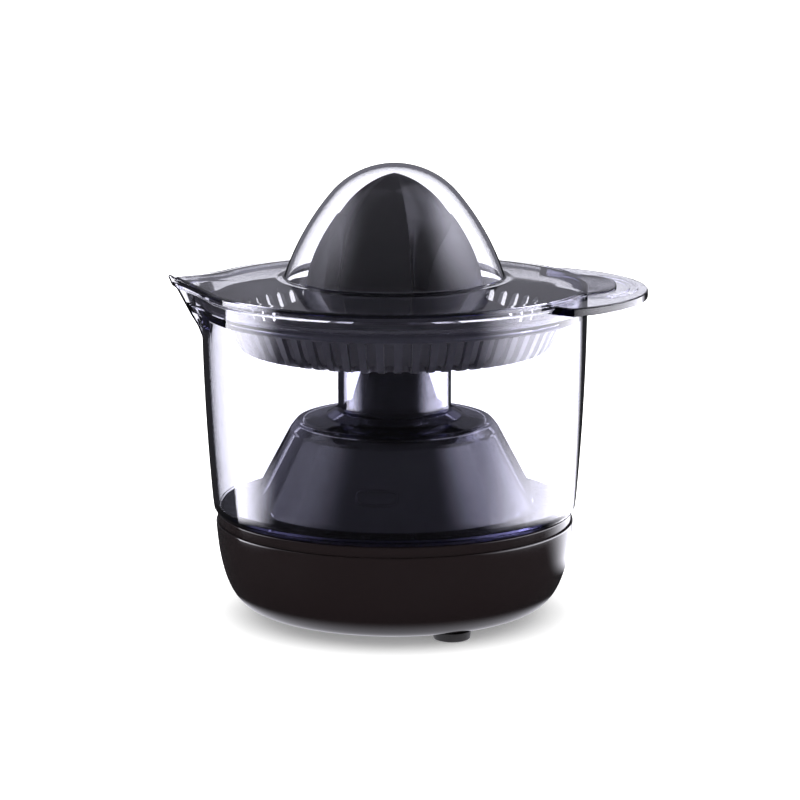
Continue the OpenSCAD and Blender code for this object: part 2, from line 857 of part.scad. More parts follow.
// ---- jug
// the spout's outline seen from above, pulled in by a wall's thickness where asked
module spout_solid(inset, top) {
    tip = spout_tip_x + inset * 1.6;
    hull() {
        translate([tip, 0, top]) cylinder(r = 0.6, h = 1, $fn = 16);
        for (y = [-1, 1])
            translate([tip + 21.5, y * (spout_half_w - inset), top - spout_rise])
                cylinder(r = 0.8, h = 1, $fn = 16);
        translate([-jug_top_r + 8, 0, rim_z - spout_drop - 2 + inset])
            cylinder(r = 0.8, h = 1, $fn = 16);
        translate([-jug_top_r + inset * 0.8, 0, rim_z - spout_drop + inset])
            cylinder(r = 0.6, h = 1, $fn = 16);
    }
}

// the handle tab seen from above: a circle's edge, from the jug's wall outwards
module tab_outline() {
    intersection() {
        translate([tab_tip_x - tab_r, 0]) circle(r = tab_r, $fn = smooth);
        translate([tab_tip_x - tab_r, -tab_r]) square(2 * tab_r);
    }
}

// the cover's tongue: a narrow bar with a round end
module tongue_outline(grow) {
    w = tongue_half_w + grow;
    intersection() {
        translate([0, -w]) square([tongue_tip_x + grow, 2 * w]);
        translate([tongue_tip_x - 30, 0]) circle(r = 30 + grow, $fn = smooth);
    }
    translate([40, -w]) square([tongue_tip_x - 52, 2 * w]);
}

module jug_inner(z_top) {
    steps = 8;
    rotate_extrude($fn = smooth)
        polygon(concat(
            [[0, z_top], [rebate_r, z_top], [rebate_r, tab_top_z],
             [jug_out(ledge_z) - jug_wall, tab_top_z],
             [jug_out(ledge_z) - jug_wall, ledge_z],
             [jug_out(ledge_z) - jug_wall - 2, ledge_z],
             [jug_out(ledge_z) - jug_wall - 2, ledge_z - 0.8],
             [jug_out(ledge_z) - jug_wall, ledge_z - 3]],
            [for (i = [steps - 1:-1:0])
                let (z = jug_floor_z + 2 + (ledge_z - 6 - jug_floor_z) * i / steps)
                [jug_out(z) - jug_wall, z]],
            [[jug_foot_r - jug_wall - 1.2, jug_floor_z],
             [channel_in_r + 1.5, jug_floor_z],
             [channel_in_r, jug_floor_z + 1.6],
             [cone_top_r, cone_top_z],
             [cone_top_r - 2.4, shoulder_z - 0.9], [cone_top_r - 5.5, shoulder_z],
             [chimney_r + 6, shoulder_z + 1.1], [chimney_r + 2, shoulder_z + 2.6],
             [chimney_r, shoulder_z + 5], [chimney_r, chimney_z], [0, chimney_z]]));
}

module jug() {
    steps = 8;
    color(clear, 0.45)
    difference() {
        union() {
            rotate_extrude($fn = smooth)
                polygon(concat(
                    [[0, deck_z], [jug_foot_r - 1.2, deck_z]],
                    [for (i = [0:steps])
                        let (z = deck_z + 1.2 + (rim_z - rim_h - 0.8 - deck_z - 1.2) * i / steps)
                        [jug_out(z), z]],
                    [[rim_r, rim_z - rim_h + 0.4], [rim_r, rim_z - 0.6],
                     [rim_r - 0.6, rim_z], [0, rim_z]]));
            spout_solid(0, rim_z + spout_rise - 1);
            translate([0, 0, tab_top_z - tab_t])
                linear_extrude(tab_t) tab_outline();
        }
        jug_inner(rim_z + 9);
        spout_solid(jug_wall, rim_z + spout_rise);
        // the rim is cut down where the cover's tongue lies over the handle tab
        translate([0, 0, tab_top_z])
            linear_extrude(9) tongue_outline(nest_gap);
        // dry side: the tower goes up inside the jug's cone, the drive inside its chimney
        rotate_extrude($fn = smooth)
            polygon([
                [0, deck_z - 1], [tower_side_r(deck_z - 1) + tower_gap * side_k, deck_z - 1],
                [tower_side_r(tower_z - 2) + tower_gap * side_k, tower_z - 2],
                [cone_top_r - 5.4, tower_z + tower_gap],
                [chimney_r + 2, tower_z + tower_gap],
                [chimney_r - jug_wall, tower_z + tower_gap + 3],
                [chimney_r - jug_wall, chimney_z + 1], [0, chimney_z + 1]]);
    }
}

// ---- strainer
module filter() {
    bend_z = trough_z + 4;
    low_in = filter_rise_r + 1;
    color(black)
    difference() {
        rotate_extrude($fn = smooth)
            polygon([
                // outside, from the flange down round the corner and up the sloping floor
                [flange_r, ledge_z], [flange_r, flange_z], [filter_top_r - 1, flange_z],
                [filter_top_r - filter_wall - 3.4, flange_z - 5],
                [filter_bend_r - filter_wall + 0.6, bend_z + 1],
                [filter_low_r - 0.6, trough_z + filter_wall + 0.4],
                [filter_low_r - 3.5, trough_z + filter_wall],
                [low_in + 1, filter_rise_z - 1.5], [filter_rise_r - 2.5, filter_rise_z],
                [collar_r + 1, filter_rise_z + 1.6],
                [collar_r, filter_rise_z + 4], [collar_r, collar_z - 0.6],
                [collar_r - 0.6, collar_z],
                [hub_r + run_fit, collar_z], [hub_r + run_fit, sleeve_z],
                [hub_r + 2, sleeve_z], [hub_r + 2, collar_z - filter_wall],
                [collar_r - filter_wall, collar_z - filter_wall],
                [collar_r - filter_wall, filter_rise_z - filter_wall],
                [filter_rise_r - 2.5, filter_rise_z - filter_wall],
                [low_in - 0.6, filter_rise_z - 1.5 - filter_wall],
                [filter_low_r - 4.4, trough_z],
                [filter_low_r, trough_z], [filter_low_r + 2.8, trough_z + 1],
                [filter_bend_r, bend_z],
                [filter_top_r - 3.4, flange_z - 5], [filter_top_r, ledge_z]]);
        for (i = [0:slot_count - 1])
            rotate(360 * (i + 0.5) / slot_count)
                translate([filter_low_r - 10, -slot_w / 2, trough_z - 1])
                    cube([40, slot_w, filter_depth - 4.5]);
    }
}

// ---- reamer
reamer_arc = [[reamer_r, 0], [reamer_r - 1, reamer_h * 0.29],
              [reamer_r * 0.54, reamer_h * 0.926], [0, reamer_h]];

module reamer() {
    core = 0.84;
    rib_t = 3.4;
    skin = 2.6;
    short_top = reamer_h * 0.66;
    profile = curve(reamer_arc, 14);
    color(black)
    difference() {
        union() {
            translate([0, 0, reamer_z])
                rotate_extrude($fn = smooth)
                    polygon(concat([[0, 0], [reamer_r, 0], [reamer_r, 1.6]],
                                   [for (p = profile) [p[0] * core, p[1] * 0.97 + 1.3]]));
            for (i = [0:rib_count - 1]) {
                translate([0, 0, reamer_z])
                    rotate([90, 0, 360 * i / rib_count + 11])
                        translate([0, 0, -rib_t / 2])
                            linear_extrude(rib_t) polygon(concat([[0, 0]], profile));
                translate([0, 0, reamer_z])
                    rotate([90, 0, 360 * (i + 0.5) / rib_count + 11])
                        translate([0, 0, -rib_t / 2])
                            linear_extrude(rib_t)
                                intersection() {
                                    polygon(concat([[0, 0]], profile));
                                    square([reamer_r + 1, short_top]);
                                }
            }
            translate([0, 0, hub_z])
                cylinder(r = hub_r, h = reamer_z + reamer_h * 0.6 - hub_z, $fn = fine);
        }
        // the shell is hollow from below round its hub
        translate([0, 0, reamer_z])
            difference() {
                rotate_extrude($fn = smooth)
                    polygon(concat(
                        [[0, -1], [reamer_r - 2, -1], [reamer_r - 2, 0.4]],
                        [for (p = profile)
                            [max(0, p[0] * core - skin), max(0.5, p[1] * 0.97 - skin)]]));
                translate([0, 0, -2])
                    cylinder(r = hub_r, h = reamer_h, $fn = fine);
            }
        translate([0, 0, hub_z - 1])
            hexagon(driver_af + 0.4, hex_top_z + 0.3 - hub_z + 1);
    }
}

// ---- cover
crown_edge = 40;
crown_z = lid_top_z - crown_r;
dome_foot_z = brim_z + brim_rise;
function dome_line(inset, n) =
    let (c = [0, crown_z],
         t = polar(crown_r, crown_edge) + c,
         f = t - polar(flank_r, crown_edge),
         low = asin((dome_foot_z - inset - f[1]) / (flank_r - inset)))
    concat(arc(c, crown_r - inset, 90, crown_edge, n),
           arc(f, flank_r - inset, crown_edge, low, n));

module lid() {
    outer = dome_line(0, 8);
    inner = reversed(dome_line(lid_wall, 8));
    foot_r_out = outer[len(outer) - 1][0];
    color(clear, 0.4)
    union() {
        rotate_extrude($fn = smooth)
            polygon(concat(
                outer,
                [[foot_r_out + 1, dome_foot_z - 0.1], [lid_r, brim_z],
                 [lid_r, brim_z - brim_t],
                 [foot_r_out + 1, dome_foot_z - brim_t - 0.1]],
                inner));
        difference() {
            translate([0, 0, tab_top_z])
                linear_extrude(brim_t) tongue_outline(0);
            translate([0, 0, tab_top_z - 1])
                cylinder(r = lid_r - 1.5, h = brim_t + 2, $fn = smooth);
        }
        // a point that lies over the mouth of the spout
        difference() {
            translate([0, 0, brim_z - brim_t])
                linear_extrude(brim_t)
                    polygon([[spout_tip_x + 8, 0], [spout_tip_x + 21, 20],
                             [-30, 20], [-30, -20], [spout_tip_x + 21, -20]]);
            translate([0, 0, brim_z - brim_t - 1])
                cylinder(r = lid_r - 1.5, h = brim_t + 2, $fn = smooth);
        }
    }
}

base_casing();
tower_cover();
for (i = [1:3]) {
    foot(i - 1);
}
casing_screws();
cord_inlet();
stator_core();
shading_rings();
coil_bobbin();
coil_winding();
stator_screws();
motor_bushes();
motor_rotor();
motor_shaft();
rotor_pinion();
gear_plate();
gear_plate_screws();
idler_axle();
idler_gear();
axle_clip();
lower_bush();
output_gear();
drive_shaft();
return_spring();
upper_bush();
shaft_seal();
drive_cone();
switch_body();
switch_plunger();
switch_lever();
lever_pin();
switch_screws();
terminal_block();
terminal_screws();
lead_wires();
jug();
filter();
reamer();
lid();
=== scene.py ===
import math

import bpy
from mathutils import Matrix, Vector


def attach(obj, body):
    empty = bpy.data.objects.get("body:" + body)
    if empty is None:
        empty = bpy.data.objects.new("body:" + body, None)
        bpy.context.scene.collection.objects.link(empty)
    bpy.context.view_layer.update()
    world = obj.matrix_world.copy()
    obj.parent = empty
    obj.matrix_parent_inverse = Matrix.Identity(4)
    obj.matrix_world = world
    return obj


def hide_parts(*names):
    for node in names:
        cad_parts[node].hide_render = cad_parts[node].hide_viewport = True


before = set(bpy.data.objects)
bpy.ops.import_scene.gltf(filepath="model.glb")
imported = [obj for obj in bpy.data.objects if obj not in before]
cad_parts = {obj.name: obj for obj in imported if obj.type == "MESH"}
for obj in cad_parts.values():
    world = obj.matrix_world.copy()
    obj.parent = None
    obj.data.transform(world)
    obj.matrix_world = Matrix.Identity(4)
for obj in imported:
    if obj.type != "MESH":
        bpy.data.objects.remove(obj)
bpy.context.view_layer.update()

MM = 0.001


# ------------------------------------------------------------------ studio
# White paper under the juicer and a white surround behind it. What its gloss mirrors is
# a dim room with a tall soft light at each side, a little behind the object.
scene = bpy.context.scene
scene.view_settings.view_transform = "Standard"
scene.cycles.max_bounces = 48
scene.cycles.transmission_bounces = 40
scene.cycles.glossy_bounces = 12
scene.cycles.diffuse_bounces = 3

camera = bpy.data.objects.new("camera", bpy.data.cameras.new("camera"))
camera.data.lens = 145.9
camera.data.sensor_width = 36
camera.data.clip_start = 0.05
camera.location = (0.00214, -1.25, 0.3267)
camera.rotation_euler = (math.radians(79.05), 0, 0)
scene.collection.objects.link(camera)
scene.camera = camera


def linear(code):
    """An sRGB hex colour as linear red, green, blue and alpha."""
    parts = [int(code[i:i + 2], 16) / 255 for i in (1, 3, 5)]
    return [c / 12.92 if c <= 0.04045 else ((c + 0.055) / 1.055) ** 2.4
            for c in parts] + [1]


def add(tree, kind, settings=None, links=None):
    """A shader node of a kind, with its settings, its socket values and its links."""
    made = tree.nodes.new("ShaderNode" + kind)
    for name, value in (settings or {}).items():
        if isinstance(name, str) and hasattr(made, name):
            setattr(made, name, value)
        else:
            made.inputs[name].default_value = value
    for name, source in (links or {}).items():
        tree.links.new(source, made.inputs[name])
    return made


def new_tree(owner):
    owner.use_nodes = True
    owner.node_tree.nodes.clear()
    return owner.node_tree


def band(tree, source, low, high, before, after):
    """A soft step from one value to another as the source goes from low to high."""
    return add(tree, "MapRange", {
        "interpolation_type": "SMOOTHSTEP", "From Min": low, "From Max": high,
        "To Min": before, "To Max": after}, {"Value": source}).outputs["Result"]


def maths(tree, first, second, operation="MULTIPLY"):
    """Two values put together by a sum, a product unless told; the second may be a float."""
    made = add(tree, "Math", {"operation": operation}, {0: first})
    if isinstance(second, float):
        made.inputs[1].default_value = second
    else:
        tree.links.new(second, made.inputs[1])
    return made.outputs[0]


def turn_of(tree, parts):
    """How far round a direction lies from the front, in radians, positive to the right."""
    back = maths(tree, parts.outputs["Y"], -1.0)
    return maths(tree, parts.outputs["X"], back, "ARCTAN2")


def softbox(tree, turn, starts, full, ends, gone, strength):
    """A softbox by its place round the object: degrees where it rises and where it stops."""
    rise = band(tree, turn, math.radians(starts), math.radians(full), 0, strength)
    return maths(tree, rise, band(tree, turn, math.radians(ends), math.radians(gone), 1, 0))


def bounced(tree, kind):
    """1 for a ray that has already bounced in this way, and 0 for one that hasn't."""
    ray = add(tree, "LightPath")
    return maths(tree, ray.outputs[kind], 0.5, "GREATER_THAN")


def fading(tree, glow):
    """Dims a glow that is seen after two mirrorings: light that has bounced about inside a
    clear wall has mostly come from the dark room."""
    ray = add(tree, "LightPath")
    return maths(tree, glow, band(tree, ray.outputs["Glossy Depth"], 1.2, 2.2, 1, 0.12))


paper_white = 2.3
world = bpy.data.worlds.new("studio")
world.cycles.sampling_method = "NONE"
tree = new_tree(world)
way = add(tree, "TexCoord")
parts = add(tree, "SeparateXYZ", {}, {"Vector": way.outputs["Generated"]})
turn = turn_of(tree, parts)
boxes = maths(tree, softbox(tree, turn, 45, 98, 134, 142, 3.0),
              softbox(tree, turn, -45, -98, -117, -124, 1.3), "ADD")
boxes = maths(tree, boxes, band(tree, parts.outputs["Z"], 0.3, 0.6, 0.5, 1))
boxes = maths(tree, boxes, band(tree, parts.outputs["Z"], 0.6, 0.85, 1, 0.1))
backdrop = maths(tree, band(tree, parts.outputs["Y"], 0.1, 0.5, 0, 0.2),
                 band(tree, parts.outputs["Z"], 0.3, 0.7, 1, 0))
dim = band(tree, parts.outputs["Z"], 0.2, 0.95, 0.03, 0.12)
glow = fading(tree, maths(tree, maths(tree, boxes, backdrop, "MAXIMUM"), dim, "ADD"))
room = add(tree, "Background", {"Color": linear("#f3f2ff")}, {"Strength": glow})
fill = add(tree, "Background", {"Color": linear("#ffffff"), "Strength": 1.5})
paper = add(tree, "Background", {"Color": linear("#ffffff"), "Strength": paper_white})
straight = add(tree, "MixShader", {}, {0: bounced(tree, "Glossy Depth"),
                                       1: paper.outputs[0], 2: room.outputs[0]})
every = add(tree, "MixShader", {}, {0: bounced(tree, "Diffuse Depth"),
                                    1: straight.outputs[0], 2: fill.outputs[0]})
add(tree, "OutputWorld", {}, {"Surface": every.outputs[0]})
scene.world = world

# The paper burns out to white. The gloss sees it lit close under the casing, dark in a
# ring round that, and lit again where the softboxes stand.
bpy.ops.object.select_all(action="DESELECT")
bpy.ops.mesh.primitive_plane_add(size=8, location=(0, 0, -0.0002))
floor = bpy.context.object
floor.name = "paper_floor"
material = bpy.data.materials.new("matt white paper")
tree = new_tree(material)
place = add(tree, "TexCoord")
parts = add(tree, "SeparateXYZ", {}, {"Vector": place.outputs["Object"]})
reach = add(tree, "VectorMath", {"operation": "LENGTH"}, {0: place.outputs["Object"]})
far = band(tree, reach.outputs["Value"], 0.06, 0.12, 0.1, 1)
lit = add(tree, "BsdfDiffuse", {"Color": linear("#fbfbfb")})
burnt = add(tree, "Emission", {"Color": linear("#ffffff"), "Strength": paper_white})
plain = add(tree, "MixShader", {}, {0: far, 1: lit.outputs[0], 2: burnt.outputs[0]})
near = band(tree, reach.outputs["Value"], 0.060, 0.069, 1.0, 0.03)
turn = turn_of(tree, parts)
wide_right = softbox(tree, turn, 45, 84, 134, 142, 6.5)
# the left softbox ends in a straight edge, which stands upright in the jug's wall
past = maths(tree, maths(tree, parts.outputs["X"], 0.55), parts.outputs["Y"], "ADD")
wide_left = maths(tree, band(tree, turn, math.radians(-66), math.radians(-96), 0, 7.5),
                  band(tree, past, -0.073, -0.065, 1, 0))
wide = maths(tree, maths(tree, wide_left, wide_right, "ADD"),
             band(tree, reach.outputs["Value"], 0.165, 0.185, 0, 1))
narrow = maths(tree, softbox(tree, turn, 90, 124, 134, 148, 3.2),
               band(tree, reach.outputs["Value"], 0.088, 0.12, 0, 1))
glow = maths(tree, maths(tree, near, wide, "MAXIMUM"), narrow, "MAXIMUM")
mirror = add(tree, "Emission", {"Color": linear("#f6f5ff")},
             {"Strength": fading(tree, glow)})
both = add(tree, "MixShader", {}, {0: bounced(tree, "Glossy Depth"), 1: plain.outputs[0],
                                   2: mirror.outputs[0]})
add(tree, "OutputMaterial", {}, {"Surface": both.outputs[0]})
floor.data.materials.append(material)


# ------------------------------------------------------------------ base casing
# The tub that holds the motor: injection-moulded ABS with a high gloss, black with a
# warm cast, on three screw bosses that the deck is fastened through from below.
def bezier(a, b, c, d, count):
    """Points of a curve in the plane of a turned outline."""
    a, b, c, d = Vector(a), Vector(b), Vector(c), Vector(d)
    for i in range(count + 1):
        t = i / count
        s = 1 - t
        yield tuple(s * s * s * a + 3 * s * s * t * b + 3 * s * t * t * c + t * t * t * d)


def soften(corners, closed=False):
    """An outline in mm from (radius, height, fillet) corners, each fillet six points."""
    line = []
    count = len(corners)
    for i, corner in enumerate(corners):
        here = Vector(corner[:2])
        fillet = corner[2] if len(corner) > 2 else 0
        if not fillet or (not closed and i in (0, count - 1)):
            line.append(here)
            continue
        back = Vector(corners[i - 1][:2]) - here
        on = Vector(corners[(i + 1) % count][:2]) - here
        reach = min(fillet / math.tan(back.angle(on) / 2),
                    0.48 * back.length, 0.48 * on.length)
        start = here + reach * back.normalized()
        end = here + reach * on.normalized()
        for k in range(6):
            t = k / 5
            line.append((1 - t) ** 2 * start + 2 * t * (1 - t) * here + t * t * end)
    return line


def only(piece):
    """Makes a piece the one selected and active object."""
    bpy.ops.object.select_all(action="DESELECT")
    piece.select_set(True)
    bpy.context.view_layer.objects.active = piece


def turned(name, outline, closed=False, steps=192, sharp=28):
    """Draws an outline point by point by extruding, and spins it round the Z axis."""
    points = [Vector((p[0], 0, p[1])) * MM for p in outline]
    if closed:
        points.append(points[0])
    bpy.ops.object.select_all(action="DESELECT")
    bpy.ops.mesh.primitive_plane_add(size=MM)
    piece = bpy.context.object
    piece.name = piece.data.name = name
    bpy.ops.object.mode_set(mode="EDIT")
    bpy.ops.mesh.merge(type="CENTER")
    bpy.ops.transform.translate(value=points[0])
    for a, b in zip(points, points[1:]):
        bpy.ops.mesh.extrude_region_move(TRANSFORM_OT_translate={"value": b - a})
    bpy.ops.mesh.select_all(action="SELECT")
    bpy.ops.mesh.spin(steps=steps, angle=math.tau, center=(0, 0, 0), axis=(0, 0, 1))
    bpy.ops.mesh.select_all(action="SELECT")
    bpy.ops.mesh.remove_doubles(threshold=0.002 * MM)
    bpy.ops.mesh.select_all(action="SELECT")
    bpy.ops.mesh.normals_make_consistent(inside=False)
    bpy.ops.object.mode_set(mode="OBJECT")
    bpy.ops.object.shade_smooth_by_angle(angle=math.radians(sharp))
    return piece


def settle(piece):
    """Bakes an object's place into its mesh."""
    only(piece)
    bpy.ops.object.transform_apply(location=True, rotation=True, scale=True)
    return piece


def rod(radius, low, high, at=(0, 0), sides=48):
    """A plain round cutter or boss in mm, standing up."""
    bpy.ops.object.select_all(action="DESELECT")
    bpy.ops.mesh.primitive_cylinder_add(
        vertices=sides, radius=radius * MM, depth=(high - low) * MM,
        location=(at[0] * MM, at[1] * MM, (low + high) / 2 * MM))
    return settle(bpy.context.object)


def carve(piece, tools, operation="DIFFERENCE", sharp=28):
    """Cuts the tools from a piece or joins them to it, and removes them."""
    for tool in tools:
        made = piece.modifiers.new("carve", "BOOLEAN")
        made.operation = operation
        made.solver = "MANIFOLD"
        made.object = tool
        only(piece)
        bpy.ops.object.modifier_apply(modifier=made.name)
        bpy.data.objects.remove(tool)
    bpy.ops.object.shade_smooth_by_angle(angle=math.radians(sharp))


def finish_piece(piece, material, body, slot, *nodes):
    """Gives a piece flat shading on its flat faces, its material and its place."""
    weighted = piece.modifiers.new("weighted normals", "WEIGHTED_NORMAL")
    weighted.keep_sharp = True
    only(piece)
    bpy.ops.object.modifier_apply(modifier=weighted.name)
    piece.data.materials.clear()
    piece.data.materials.append(material)
    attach(piece, body)
    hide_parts(*nodes)


screw_ring = 56
screw_spots = [(screw_ring * math.cos(math.radians(a)), screw_ring * math.sin(math.radians(a)))
               for a in (30, 150, 270)]
casing = turned("casing", soften([
    (0, 3.5), *bezier((52, 3.5), (64, 3.5), (69, 16), (70.4, 37.2), 28),
    (70.4, 37.9, 0.5), (68.4, 37.9, 0.3), (68.2, 37.0),
    *bezier((68, 35), (66, 17), (62, 5.9), (50, 5.7), 16), (0, 5.7)]))
carve(casing, [rod(5, 7.4, 12.2, p) for p in screw_spots], "UNION")
carve(casing, [rod(1.8, 8, 13, p) for p in screw_spots])
boss = rod(7.2, 0, 8)
boss.rotation_euler = (math.radians(-90), 0, 0)
boss.location = (0, 61.5 * MM, 20 * MM)
bore = rod(4.92, 0, 20)
bore.rotation_euler = (math.radians(-90), 0, 0)
bore.location = (0, 60 * MM, 20 * MM)
carve(casing, [settle(boss)], "UNION")
carve(casing, [settle(bore)])

# Gloss ABS: deep black with a sharp mirror and the faint waviness of a moulded wall.
gloss_abs = bpy.data.materials.new("black ABS, moulded, high gloss")
tree = new_tree(gloss_abs)
place = add(tree, "TexCoord")
wave = add(tree, "TexNoise", {"Scale": 60.0, "Detail": 1.0},
           {"Vector": place.outputs["Object"]})
smear = add(tree, "TexNoise", {"Scale": 25.0, "Detail": 4.0},
            {"Vector": place.outputs["Object"]})
sheen = band(tree, smear.outputs["Fac"], 0.3, 0.75, 0.06, 0.13)
ripple = add(tree, "Bump", {"Strength": 0.04, "Distance": 0.0004},
             {"Height": wave.outputs["Fac"]})
shell = add(tree, "BsdfPrincipled", {"Base Color": linear("#151011"), "IOR": 1.53},
            {"Roughness": sheen, "Normal": ripple.outputs["Normal"]})
add(tree, "OutputMaterial", {}, {"Surface": shell.outputs[0]})
finish_piece(casing, gloss_abs, "base", "casing_black", "base_casing")


# ------------------------------------------------------------------ tower cover
# The deck, its rim band and the cone that the jug drops over, in one moulding of ABS
# with a satin face. It is screwed to the casing from below.
deck = 42.3
cone_lean = 0.515
side_k = math.hypot(1, cone_lean)


def tower_side(z):
    """Outer radius of the tower's side at a height, in mm."""
    return 56.3 - cone_lean * (z - 44.8) - 3.4 * side_k


tower = turned("tower", soften([
    (6.52, 68), (9.5, 68, 0.3), (9.5, 72.8, 1), (31, 72.8, 2),
    (tower_side(70.3) - 2.46, 70.3, 2), (tower_side(40.1) - 2.46, 40.1, 1),
    (65.6, 40.1, 0.5), (65.6, 34.5, 0.3), (67.8, 34.5, 0.3), (68, 37.9, 0.1),
    (69.65, 37.9, 0.1), (70.05, 41.8, 0.45), (69.5, 42.3, 0.3), (tower_side(42.3), 42.3, 1.2),
    (tower_side(72.4), 72.4, 3), (tower_side(72.4) - 2.6, 75, 2.2),
    (14.1, 75, 1.2), (13.3, 82.4, 0), (13.3, 83, 0.6), (6.52, 83, 0.3)], closed=True),
    closed=True)
carve(tower, [rod(3.6, 12.2, 40.6, p) for p in screw_spots], "UNION")
carve(tower, [rod(1.52, 10, 26, p) for p in screw_spots])

# Satin ABS: dark grey-black, its face spark-eroded so that lights spread into soft bars.
def satin(name, colour, rough_low, rough_high, grain=0.35, lift=0.035):
    material = bpy.data.materials.new(name)
    tree = new_tree(material)
    place = add(tree, "TexCoord")
    # the real grain is about 0.1 mm across: drawn coarser so that it shows
    fine = add(tree, "TexNoise", {"Scale": 1 / (grain * MM), "Detail": 2.0},
               {"Vector": place.outputs["Object"]})
    smear = add(tree, "TexNoise", {"Scale": 30.0, "Detail": 3.0},
                {"Vector": place.outputs["Object"]})
    sheen = band(tree, smear.outputs["Fac"], 0.3, 0.7, rough_low, rough_high)
    bump = add(tree, "Bump", {"Strength": lift * 3, "Distance": 0.0002},
               {"Height": fine.outputs["Fac"]})
    shell = add(tree, "BsdfPrincipled", {"Base Color": linear(colour), "IOR": 1.53},
                {"Roughness": sheen, "Normal": bump.outputs["Normal"]})
    add(tree, "OutputMaterial", {}, {"Surface": shell.outputs[0]})
    return material


satin_abs = satin("black ABS, moulded, satin", "#26252b", 0.2, 0.27)
finish_piece(tower, satin_abs, "base", "casing_black", "tower_cover")
# the rim band round the deck is polished like the casing
tower.data.materials.append(gloss_abs)
for face in tower.data.polygons:
    if math.hypot(*face.center.xy) > 67 * MM and face.center.z < (deck - 0.2) * MM:
        face.material_index = 1

# A raised lozenge on the cone's front, left by the mould's date insert: a thin bead.
bpy.ops.object.select_all(action="DESELECT")
bpy.ops.mesh.primitive_torus_add(major_segments=96, minor_segments=8,
                                 major_radius=5 * MM, minor_radius=0.5 * MM)
bead = bpy.context.object
bead.name = bead.data.name = "tower_bead"
middle = math.radians(-98)
for vertex in bead.data.vertices:
    u = math.atan2(vertex.co.y, vertex.co.x)
    off = math.hypot(vertex.co.x, vertex.co.y) / MM - 5
    long = (abs(math.cos(u)) ** 0.8 * math.copysign(1, math.cos(u))) * (7.6 + off)
    tall = (abs(math.sin(u)) ** 0.45 * math.copysign(1, math.sin(u))) * (2.6 + off)
    z = 55.6 + tall
    r = tower_side(z) + vertex.co.z / MM * 0.8
    a = middle + long / r
    vertex.co = Vector((r * math.cos(a), r * math.sin(a), z + vertex.co.z / MM * 0.4)) * MM
only(bead)
bpy.ops.object.shade_smooth()
bead.data.materials.append(satin_abs)
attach(bead, "base")


# ------------------------------------------------------------------ feet
# Three round pads of black rubber on stems pressed up into the casing's floor. Their
# rims are rounded over and their faces slightly dished.
rubber = bpy.data.materials.new("black rubber, moulded")
tree = new_tree(rubber)
place = add(tree, "TexCoord")
grain = add(tree, "TexNoise", {"Scale": 2500.0, "Detail": 3.0},
            {"Vector": place.outputs["Object"]})
bloom = add(tree, "TexNoise", {"Scale": 120.0, "Detail": 4.0},
            {"Vector": place.outputs["Object"]})
rough = band(tree, bloom.outputs["Fac"], 0.3, 0.7, 0.35, 0.55)
bump = add(tree, "Bump", {"Strength": 0.15, "Distance": 0.0002},
           {"Height": grain.outputs["Fac"]})
shell = add(tree, "BsdfPrincipled", {"Base Color": linear("#1b1819"), "IOR": 1.52},
            {"Roughness": rough, "Normal": bump.outputs["Normal"]})
add(tree, "OutputMaterial", {}, {"Surface": shell.outputs[0]})
for i in range(3):
    angle = math.radians(120 * i - 63)
    pad = turned(f"foot_pad_{i + 1}", soften([
        (0, 0.3), (4.8, 0.3, 0.5), (5.6, 0, 0.3), (7.0, 0, 0.9), (7.5, 3.5, 0.3),
        (3, 3.5, 0.2), (3, 6.5, 0.5), (0, 6.5)]), steps=64)
    pad.location = (48.5 * MM * math.cos(angle), 48.5 * MM * math.sin(angle), 0)
    settle(pad)
    finish_piece(pad, rubber, "base", "feet_rubber", f"foot_{i + 1}")


# ------------------------------------------------------------------ cord inlet
# The rubber grommet that the mains lead enters by, with a lip on each side of the wall.
grommet = turned("grommet", soften([
    (3.5, 0, 0.3), (5.7, 0, 0.4), (5.7, 1.4, 0.3), (4.9, 1.6, 0.2), (4.9, 9.4, 0.2),
    (6.2, 9.4, 0.4), (6.2, 10.8, 0.6), (3.5, 10.8, 0.7)], closed=True),
    closed=True, steps=64)
grommet.rotation_euler = (math.radians(-90), 0, 0)
grommet.location = (0, 60.1 * MM, 20 * MM)
settle(grommet)
finish_piece(grommet, rubber, "base", "feet_rubber", "cord_inlet")


# ------------------------------------------------------------------ drive cone
# The moulded cone that hides the shaft: it turns with it, its skirt over the tower's
# neck, and its hexagon drives the reamer.
cone = turned("drive_boot", soften([
    (0, 84.6), (4, 91.3, 0.2), (7, 91.3, 0.5), (14.7, 84.6, 0.2), (14.7, 82.3, 0.2),
    (17.9, 82.3, 0.3), (17.9, 83.1, 0.3), (17.1, 84.7, 0.4), (14.6, 92.7, 6),
    (9.47, 108.2, 0.7), (8.7, 109, 0.5), (0, 109)]), steps=128)
bpy.ops.object.select_all(action="DESELECT")
bpy.ops.mesh.primitive_cylinder_add(vertices=6, radius=10 / math.sqrt(3) * MM, depth=18 * MM,
                                    location=(0, 0, 117.2 * MM))
driver = settle(bpy.context.object)
bpy.ops.object.mode_set(mode="EDIT")
bpy.ops.mesh.select_all(action="SELECT")
bpy.ops.mesh.bevel(offset=0.35 * MM, segments=3, affect="EDGES")
bpy.ops.object.mode_set(mode="OBJECT")
carve(cone, [driver], "UNION")
finish_piece(cone, satin_abs, "drive", "drive_black", "drive_cone")


# ------------------------------------------------------------------ jug
# The clear jug that catches the juice, injection-moulded in SAN with a faint violet
# tint: a cone and chimney inside clear the drive, with a pouring lip and a handle tab.
rim = 131.4
foot_r = 71.2
jug_wall = 2.2
lip_half = 27
lip_reach = 12
lip_rise = 3.1
lip_low = 111.5


def jug_side(z):
    """Outer radius of the jug's side at a height, in mm: it leans out most near the foot."""
    t = min(max((z - deck) / (rim - deck), 0), 1)
    return foot_r + 4.1 * (1 - (1 - t) ** 2)


